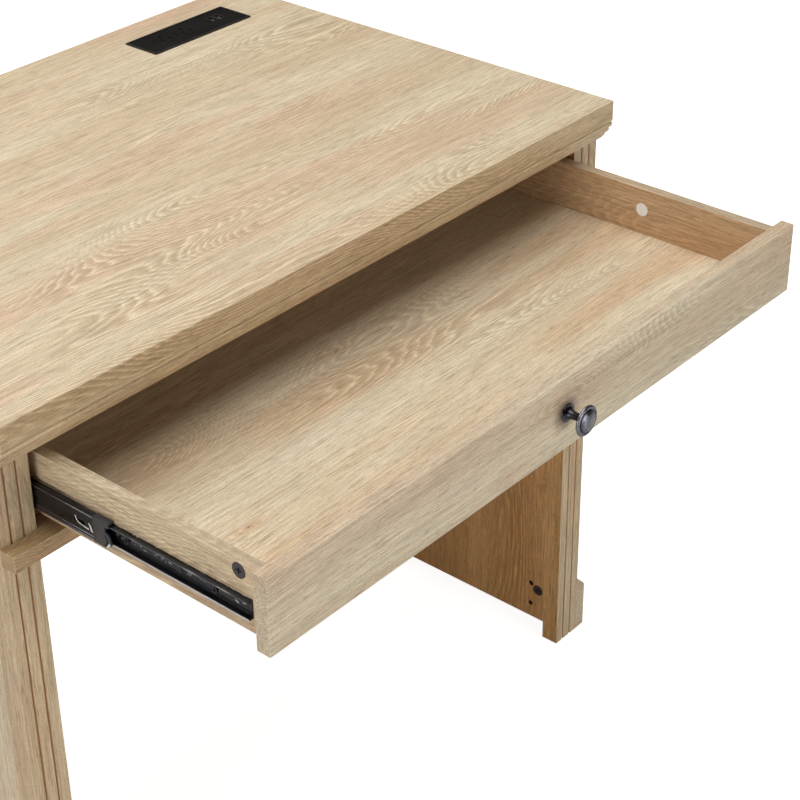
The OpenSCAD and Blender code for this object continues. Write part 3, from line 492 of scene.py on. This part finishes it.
BOARDS = (
    # node, grain, across, tones, figure, banded faces, their tones
    ("desktop", "x", "y", "light", 1.0, ("x", "y"), "band"),
    ("front_moulding", "x", "z", "mould", 0.5, (), None),
    # painted shade: the cross rail, the back panel and the right drawer side take the warm tones of faces in
    # shadow
    ("front_cross_rail", "x", "z", "warm", 0.6, (), None),
    ("drawer_rail", "x", "y", "rail", 0.6, (), None),
    ("back_panel", "x", "z", "warm", 0.8, (), None),
    # painted shade: the posts' faces towards the inside of their leg, and the inner panels, take the shade
    # tones
    ("left_front_post", "z", "x", "post", 0.6, ("+x",), "shade"),
    ("right_front_post", "z", "x", "post", 0.6, ("-x",), "shade"),
    ("left_rear_post", "z", "x", "post", 0.6, ("+x",), "shade"),
    ("right_rear_post", "z", "x", "post", 0.6, ("-x",), "shade"),
    ("left_inner_panel", "z", "y", "shade", 1.1, (), None),
    ("right_inner_panel", "z", "y", "shade", 1.1, (), None),
    ("left_outer_panel", "z", "y", "light", 1.0, (), None),
    ("right_outer_panel", "z", "y", "light", 1.0, (), None),
    ("left_plinth", "y", "z", "front", 0.6, (), None),
    ("right_plinth", "y", "z", "front", 0.6, (), None),
    ("drawer_front", "x", "z", "front", 0.8, (), None),
    ("left_drawer_side", "y", "z", "box", 0.9, ("+z",), "pale"),
    ("right_drawer_side", "y", "z", "warm", 0.45, ("+z",), "pale"),
    ("drawer_back", "x", "z", "box", 0.8, ("+z",), "pale"),
    ("drawer_bottom", "x", "y", "bottom", 0.8, (), None),
)
KNOTS = {
    # (place along the grain, place across it, radius, swirl, dark eye or not)
    "desktop": ((0.199, 0.101, 0.020, 9.0, False), (-0.047, -0.062, 0.013, 5.0, False),
                (0.274, 0.208, 0.004, 2.0, True), (-0.26, 0.21, 0.016, 7.0, False)),
    "drawer_bottom": ((-0.298, -0.164, 0.022, 14.0, False), (-0.297, -0.296, 0.005, 2.5, True),
                      (-0.029, -0.154, 0.004, 1.5, True)),
    "drawer_front": ((-0.088, 0.642, 0.006, 4.0, False), (0.007, 0.683, 0.014, 9.0, False)),
    "left_inner_panel": ((0.13, -0.06, 0.030, 9.0, False), (0.46, 0.12, 0.026, 8.0, False)),
    "right_inner_panel": ((0.13, -0.06, 0.030, 9.0, False), (0.25, -0.105, 0.006, 2.0, True),
                          (0.50, 0.16, 0.026, 8.0, False)),
    "left_outer_panel": ((0.30, 0.10, 0.024, 7.0, False),),
    "right_outer_panel": ((0.42, 0.20, 0.028, 8.0, False),),
    "back_panel": ((0.10, 0.60, 0.020, 6.0, False),),
}


def dress_boards():
    """Gives every board its own stretch of the oak print, in its own tones."""
    for seed, (name, grain, across, tones, figure, banded, band_tones) in enumerate(BOARDS, start=1):
        material = oak(name, grain, across, tones, seed, KNOTS.get(name, ()), figure, banded, band_tones)
        radius = 0.0 if name == "drawer_bottom" else 0.0005
        finish_node(name, material, radius)


def dress_fittings():
    """Gives the fasteners, the slides, the power strip, the knob and the sticker their materials."""
    raw = particle_board("raw_board")
    for side in ("left", "right"):
        finish_node(side + "_leg_spacers", raw)
    # Planed beech and die-cast zinc have the same fine, even grain as plastic at this size
    beech = moulded_plastic("beech", "c9a26c", 0.6)
    for name in ("frame_dowels", "drawer_dowels"):
        finish_node(name, beech)
    zinc = bare_metal("zinc_steel", "c9c9cc", 0.30)
    for name in ("leg_cam_bolts", "drawer_cam_bolts", "cross_rail_screws", "slide_case_screws",
                 "drawer_back_screws", "knob_screw", "power_clamps"):
        finish_node(name, zinc)
    finish_node("slide_drawer_screws", bare_metal("black_zinc", "3b3b40", 0.34))
    cam = moulded_plastic("cam_zinc", "2a2624", 0.36)
    for name in ("leg_cam_locks", "drawer_cam_locks"):
        finish_node(name, cam, 0.0003)
    balls = bare_metal("ball_steel", "dcdcdf", 0.12)
    grey = moulded_plastic("grey_plastic", "55565c", 0.42)
    for side, sign in (("left", 1), ("right", -1)):
        for part, opening in (("outer", sign), ("middle", sign), ("inner", -sign)):
            name = f"{side}_slide_{part}_member"
            finish_node(name, coated_steel("steel_" + name, name, opening, part == "inner"), 0.0002)
        for part in ("outer", "inner"):
            finish_node(f"{side}_{part}_ball_cage", grey)
            finish_node(f"{side}_slide_balls_{part}", balls)
    black = moulded_plastic("black_plastic", "0e0c0c", 0.50, wear=0.05)
    black.node_tree.nodes["Principled BSDF"].inputs["Specular IOR Level"].default_value = 0.25
    rim = moulded_plastic("rim_plastic", "1c1918", 0.42)
    for name in ("power_faceplate", "power_sockets", "power_housing", "cord_gland", "foot_glides"):
        finish_node(name, black, 0.0002 if name in ("power_faceplate", "power_sockets") else 0.0)
    finish_node("power_bezel", rim, 0.0004)
    finish_node("usb_port_block", rim, 0.0)
    finish_node("knob", antique_metal("gunmetal", "knob", 1.0))
    finish_node("knob_backplate", antique_metal("gunmetal_plate", "knob_backplate", 0.25))
    finish_node("round_sticker", paper("sticker_paper"))


# ---------------------------------------------------------------- drawer slide details

def box_mm(name):
    """The low and high corners of a CAD node's box, in mm."""
    return [[place / MM for place in corner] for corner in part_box(name)]


def stroke(path, width):
    """The closed outline of a path drawn with a pen of that width."""
    left, right = [], []
    for i, point in enumerate(path):
        before, after = Vector(path[max(i - 1, 0)]), Vector(path[min(i + 1, len(path) - 1)])
        along = (after - before).normalized()
        normal = Vector((-along.y, along.x)) * width / 2
        left.append(tuple(Vector(point) + normal))
        right.append(tuple(Vector(point) - normal))
    return left + right[::-1]


def arc(centre, radius, start, end, steps=24):
    """Points on a circle in (y, z), at angles measured from straight forward (-y) and upwards."""
    turns = [math.radians(start + (end - start) * i / steps) for i in range(steps + 1)]
    return [(centre[0] - radius * math.cos(t), centre[1] + radius * math.sin(t)) for t in turns]


def add_plate(shape, outlines, near, far, soften, upright=False):
    """Adds to a bmesh a plate with rounded edges, from near to far mm.

    The outlines are in (y, z) mm and the plate runs along x, or where upright is set, in (x, y) and along z.
    """
    curve = bpy.data.curves.new("outline", "CURVE")
    curve.dimensions = "2D"
    curve.fill_mode = "BOTH"
    for outline in outlines:
        spline = curve.splines.new("POLY")
        spline.points.add(len(outline) - 1)
        for point, (y, z) in zip(spline.points, outline):
            point.co = (y * MM, z * MM, 0.0, 1.0)
        spline.use_cyclic_u = True
    curve.offset = -soften * MM
    curve.extrude = (abs(far - near) / 2 - soften) * MM
    curve.bevel_depth = soften * MM
    curve.bevel_resolution = 2
    drawn = bpy.data.objects.new("outline", curve)
    bpy.context.scene.collection.objects.link(drawn)
    bpy.context.view_layer.update()
    solid = bpy.data.meshes.new_from_object(drawn.evaluated_get(bpy.context.evaluated_depsgraph_get()))
    middle = (near + far) / 2 * MM
    if upright:
        turn = Matrix.Translation((0.0, 0.0, middle))
    else:
        # The outline's first coordinate becomes y, its second z, and its thickness lies along x
        turn = Matrix(((0, 0, 1, middle), (1, 0, 0, 0), (0, 1, 0, 0), (0, 0, 0, 1)))
    solid.transform(turn)
    shape.from_mesh(solid)
    bpy.data.objects.remove(drawn)
    bpy.data.curves.remove(curve)
    bpy.data.meshes.remove(solid)


def add_rib(shape, x, lift, z, width, start, end):
    """Adds a half-round rib along y, with tapered ends, on a face at x.

    How far it stands out is lift, with its sign.
    """
    steps, taper, tip = 8, 0.6, 0.15
    rings = []
    for y, grow in ((start, tip), (start + taper, 1.0), (end - taper, 1.0), (end, tip)):
        ring = []
        for i in range(steps + 1):
            turn = math.pi * i / steps
            place = (x + lift * grow * math.sin(turn), y, z + grow * width / 2 * math.cos(turn))
            ring.append(shape.verts.new(Vector(place) * MM))
        rings.append(ring)
    for ring, following in zip(rings, rings[1:]):
        for i in range(steps + 1):
            j = (i + 1) % (steps + 1)
            shape.faces.new((ring[i], ring[j], following[j], following[i]))
    shape.faces.new(rings[0])
    shape.faces.new(rings[-1][::-1])


def finish_piece(name, shape, material, body, mirrored=False, replaced=()):
    """Turns a bmesh made for the left slide into a piece, on the right slide if mirrored."""
    bmesh.ops.remove_doubles(shape, verts=shape.verts, dist=1e-6)
    if mirrored:
        bmesh.ops.scale(shape, vec=(-1.0, 1.0, 1.0), verts=shape.verts)
    bmesh.ops.recalc_face_normals(shape, faces=shape.faces)
    made = bpy.data.meshes.new(name)
    shape.to_mesh(made)
    shape.free()
    for face in made.polygons:
        face.use_smooth = True
    made.set_sharp_from_angle(angle=math.radians(50))
    made.materials.append(material)
    piece = bpy.data.objects.new(name, made)
    bpy.context.scene.collection.objects.link(piece)
    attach(piece, body)
    if replaced:
        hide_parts(*replaced)


# The left slide's details, in mm. A point is (y, z), and the front is towards -y. The web and the cap face -x
WEB_LOW, WEB_HIGH = box_mm("left_slide_middle_member")
CHANNEL_LOW, CHANNEL_HIGH = box_mm("left_slide_inner_member")
CAP_LOW, CAP_HIGH = box_mm("left_slide_end_cap")
CAP_BACK, CAP_FRONT = CAP_HIGH[1], CAP_LOW[1] + 1.7
NOSE = (-222.6, 655.3)
LEVER = ((-186.6, 664.8), (-187.3, 662.2), (-188.8, 659.8), (-191.4, 658.3), (-196.0, 657.6), (-203.2, 657.0))
CATCH = ((-203.9, 663.6), (-206.8, 662.2), (-208.9, 655.8), (-205.9, 656.4))
WEB_RIBS = ((671.3, 0.9), (651.4, 0.8), (648.3, 0.9))  # height and width of each
CHANNEL_RIBS = (664.9, 654.4)
CHANNEL_STEEL = 1.0
ADJUSTERS = (-307.0, -195.0, -128.5)


def end_cap():
    """Sprung plastic cap: a rounded nose behind a curved slit, and a square ear above it."""
    shape = bmesh.new()
    face, lip = CAP_LOW[0], CAP_HIGH[0]
    foot, crown = CAP_LOW[2], CAP_HIGH[2]
    outline = [(CAP_BACK, foot)] + arc(NOSE, 8.4, -78, 58) + [
        (-224.6, 663.6), (-224.6, 668.2), (-228.6, 668.6), (CAP_FRONT, 669.4), (CAP_FRONT, crown - 0.7),
        (-228.5, crown), (CAP_BACK, crown)]
    slit = arc((-219.6, 654.9), 7.3, -60, 52) + arc((-219.6, 654.9), 6.1, 52, -60)
    add_plate(shape, [outline, slit], face, face + 1.9, 0.25)
    top_wall = [(CAP_BACK, 670.0), (-228.4, 670.0), (-229.0, 670.8), (-229.0, 672.4), (-228.2, crown - 0.1),
                (CAP_BACK, crown - 0.1)]
    foot_wall = [(CAP_BACK, foot + 0.1), (-222.0, foot + 0.1), (-224.4, 648.2), (-225.6, 650.0),
                 (CAP_BACK, 650.0)]
    for wall in (top_wall, foot_wall):
        add_plate(shape, [wall], face + 0.8, lip, 0.3)
    return shape


def cap_highlight():
    """Painted highlight: a pale crescent on the lower front of the cap's nose."""
    shape = bmesh.new()
    crescent = arc(NOSE, 8.1, -66, -12) + arc((-220.4, 655.0), 7.7, -16, -60)
    add_plate(shape, [crescent], CAP_LOW[0] - 0.4, CAP_LOW[0] + 0.1, 0.15)
    return shape


def slide_marks():
    """Bright lever and catch lanced out of the middle member's web."""
    shape = bmesh.new()
    sunk = WEB_LOW[0] + 0.2
    add_plate(shape, [stroke(LEVER, 1.3)], WEB_LOW[0] - 0.65, sunk, 0.25)
    add_plate(shape, [CATCH], WEB_LOW[0] - 0.7, sunk, 0.2)
    return shape


def middle_ribs():
    """Rolled ribs along the middle member's web, rubbed bright."""
    shape = bmesh.new()
    for z, width in WEB_RIBS:
        add_rib(shape, WEB_LOW[0] + 0.05, -0.4, z, width, WEB_LOW[1] + 0.2, WEB_HIGH[1] - 1.0)
    return shape


def inner_ribs():
    """Rolled ribs along the floor of the inner member's channel."""
    shape = bmesh.new()
    floor = CHANNEL_HIGH[0] - CHANNEL_STEEL
    for z in CHANNEL_RIBS:
        add_rib(shape, floor + 0.05, -0.45, z, 1.1, CHANNEL_LOW[1] + 1.0, CHANNEL_HIGH[1] - 1.0)
    return shape


def adjusters():
    """Slotted heads of the height adjusters in the inner member's spare holes."""
    shape = bmesh.new()
    floor = CHANNEL_HIGH[0] - CHANNEL_STEEL
    z = (CHANNEL_LOW[2] + CHANNEL_HIGH[2]) / 2
    for y in ADJUSTERS:
        # The outline closes itself, so the arc stops one step short of a full turn
        add_plate(shape, [arc((y, z), 3.7, 0, 345, 23)], floor - 0.7, floor + 0.1, 0.3)
        add_plate(shape, [stroke(((y - 2.0, z), (y + 2.0, z)), 1.0)], floor - 0.95, floor - 0.6, 0.1)
    return shape


def detail_slides():
    """Adds to both slides what the CAD leaves plain, on the body that each part rides on."""
    plastic = moulded_plastic("cap_plastic", "2b2c30", 0.34)
    # the pale plastic of the painted highlight on the cap's nose
    worn_and_highlight = moulded_plastic("cap_highlight_plastic", "d2d4d7", 0.30)
    polished = bare_metal("lever_steel", "f6f5f8", 0.30)
    rolled = bare_metal("rib_steel", "8d8b93", 0.26, (1.0, 0.04, 1.0))
    dull = bare_metal("inner_rib_steel", "3c3c42", 0.30, (1.0, 0.04, 1.0))
    black = moulded_plastic("adjuster_plastic", "1b1b1d", 0.40)
    for side in ("left", "right"):
        mirrored = side == "right"
        middle = side + "_slide_middle"
        replaced = (side + "_slide_end_cap",)
        finish_piece(side + "_cap", end_cap(), plastic, middle, mirrored, replaced)
        finish_piece(side + "_cap_highlight", cap_highlight(), worn_and_highlight, middle, mirrored)
        finish_piece(side + "_lever", slide_marks(), polished, middle, mirrored)
        finish_piece(side + "_middle_ribs", middle_ribs(), rolled, middle, mirrored)
        finish_piece(side + "_inner_ribs", inner_ribs(), dull, "drawer", mirrored)
        finish_piece(side + "_adjusters", adjusters(), black, "drawer", mirrored)


USB_FROM_MIDDLE = 5.75  # each port's centre, along x from the middle of their block
USB_PORT = (2.66, 6.2)  # half sizes of a port's opening
USB_WALL = 0.4
USB_DEPTH = 9.35
CONTACTS = 4
CONTACT = (0.85, 0.6)  # half sizes
CONTACT_PITCH = 1.5
CONTACT_OFFSET = (-0.9, -3.9)  # the first contact, from its port's centre


def rounded_box(x, y, half_x, half_y, radius):
    """Outline of a rectangle with rounded corners, in mm."""
    corners = ((1, 1, 0), (-1, 1, 90), (-1, -1, 180), (1, -1, 270))
    return [
        (x + sx * (half_x - radius) + radius * math.cos(math.radians(start + step)),
         y + sy * (half_y - radius) + radius * math.sin(math.radians(start + step)))
        for sx, sy, start in corners for step in range(0, 91, 18)
    ]


def detail_usb():
    """Dark steel shell that lines each USB port, and four bright contacts on its tongue."""
    low, high = box_mm("usb_port_block")
    middle, y = (low[0] + high[0]) / 2, (low[1] + high[1]) / 2
    rim = high[2] - 0.05
    shells, contacts = bmesh.new(), bmesh.new()
    for x in (middle - USB_FROM_MIDDLE, middle + USB_FROM_MIDDLE):
        inner = [half - USB_WALL for half in USB_PORT]
        wall = [rounded_box(x, y, *USB_PORT, 0.5), rounded_box(x, y, *inner, 0.35)]
        add_plate(shells, wall, rim - USB_DEPTH, rim, 0.08, True)
        for i in range(CONTACTS):
            along = y + CONTACT_OFFSET[1] + i * CONTACT_PITCH
            contact = rounded_box(x + CONTACT_OFFSET[0], along, *CONTACT, 0.2)
            add_plate(contacts, [contact], rim - 0.8, rim - 0.55, 0.05, True)
    steel = bare_metal("usb_shell_steel", "4c4c50", 0.35)
    tin = bare_metal("usb_contact_tin", "f4f4f2", 0.40)
    finish_piece("usb_shells", shells, steel, "desk")
    finish_piece("usb_contacts", contacts, tin, "desk")


# ---------------------------------------------------------------- studio and camera

FLOOR_HALF = 12.0
FLOOR_GLOW = 0.88
SURROUND_SEEN = 1.05  # how bright the surround looks
SURROUND_LIGHT = 0.095  # how much it lights the desk
SHADE_TINT = (1.0, 0.90, 0.78, 1.0)  # the colour of that light, warm as if bounced off wood
LAMP_AIM = (0.0, -0.1, 0.7)
LAMPS = (
    # name, place, width, watts, colour
    ("overhead", (-0.5, 0.5, 3.6), 4.4, 134.0, (1.0, 0.99, 0.98)),
    ("front_fill", (0.3, -3.7, 0.9), 2.2, 53.0, (1.0, 1.0, 1.0)),
    ("left_fill", (-3.8, -0.9, 0.8), 2.2, 39.0, (1.0, 1.0, 1.0)),
)


def build_floor():
    """A wide pale floor that takes shadows, and looks an even white."""
    sheet = bpy.data.meshes.new("studio_floor")
    shape = bmesh.new()
    bmesh.ops.create_grid(shape, x_segments=8, y_segments=8, size=FLOOR_HALF)
    shape.to_mesh(sheet)
    shape.free()
    floor = bpy.data.objects.new("studio_floor", sheet)
    floor.location = (0.0, 0.0, -0.0005)
    bpy.context.scene.collection.objects.link(floor)
    material, graph, shader = new_material("studio_paper")
    shader.inputs["Base Color"].default_value = (0.80, 0.80, 0.79, 1.0)
    shader.inputs["Roughness"].default_value = 0.9
    # The glow is only seen, so it lights nothing
    glow = graph.node("Emission", Color=WHITE, Strength=FLOOR_GLOW)
    lifted = graph.node("AddShader")
    graph.put(lifted.inputs[0], shader.outputs[0])
    graph.put(lifted.inputs[1], glow.outputs[0])
    seen = graph.node("LightPath").outputs["Is Camera Ray"]
    split = graph.node("MixShader", Fac=seen)
    graph.put(split.inputs[1], shader.outputs[0])
    graph.put(split.inputs[2], lifted.outputs[0])
    output = next(n for n in material.node_tree.nodes if n.type == "OUTPUT_MATERIAL")
    graph.put(output.inputs["Surface"], split.outputs[0])
    sheet.materials.append(material)


def build_surround():
    """An even white world, seen at full strength and lighting the desk only weakly."""
    world = bpy.data.worlds.new("studio")
    world.use_nodes = True
    backdrop = world.node_tree.nodes["Background"]
    surround = Graph(world.node_tree)
    seen = surround.node("LightPath").outputs["Is Camera Ray"]
    surround.put(backdrop.inputs["Color"], surround.mix(seen, SHADE_TINT, WHITE))
    strength = surround.math("MULTIPLY_ADD", seen, SURROUND_SEEN - SURROUND_LIGHT, SURROUND_LIGHT)
    surround.put(backdrop.inputs["Strength"], strength)
    bpy.context.scene.world = world
    view = bpy.context.scene.view_settings
    view.view_transform = "Standard"
    view.look = "None"


def build_lamps():
    """Large soft round lamps, all aimed at the drawer."""
    for name, place, width, watts, colour in LAMPS:
        lamp = bpy.data.lights.new(name, "AREA")
        lamp.shape = "DISK"
        lamp.size = width
        lamp.energy = watts
        lamp.color = colour
        made = bpy.data.objects.new(name, lamp)
        made.location = place
        made.rotation_mode = "QUATERNION"
        made.rotation_quaternion = (Vector(LAMP_AIM) - Vector(place)).to_track_quat("-Z", "Y")
        bpy.context.scene.collection.objects.link(made)


CAMERA_PLACE = (-1.249, -1.2946, 1.6287)
CAMERA_AZIMUTH = 49.03
CAMERA_DROP = 30.49
CAMERA_ROLL = -0.78
CAMERA_LENS = 87.85
CAMERA_SHIFT = (0.0036, -0.06)


def build_camera():
    """A long lens from the front left and above; the angles are in degrees, from +y towards +x and down."""
    azimuth, drop, roll = (math.radians(a) for a in (CAMERA_AZIMUTH, CAMERA_DROP, CAMERA_ROLL))
    ahead = Vector((math.sin(azimuth), math.cos(azimuth), 0.0))
    forward = ahead * math.cos(drop) - Vector((0.0, 0.0, math.sin(drop)))
    level = Vector((math.cos(azimuth), -math.sin(azimuth), 0.0))
    upright = level.cross(forward)
    right = level * math.cos(roll) + upright * math.sin(roll)
    top = right.cross(forward)
    made = bpy.data.objects.new("camera", bpy.data.cameras.new("camera"))
    turned = Matrix((right, top, -forward)).transposed().to_4x4()
    made.matrix_world = Matrix.Translation(CAMERA_PLACE) @ turned
    made.data.lens = CAMERA_LENS
    made.data.shift_x, made.data.shift_y = CAMERA_SHIFT
    bpy.context.scene.collection.objects.link(made)
    bpy.context.scene.camera = made


build_camera()
build_floor()
build_surround()
build_lamps()
dress_boards()
dress_fittings()
detail_slides()
detail_usb()

bpy.context.view_layer.update()
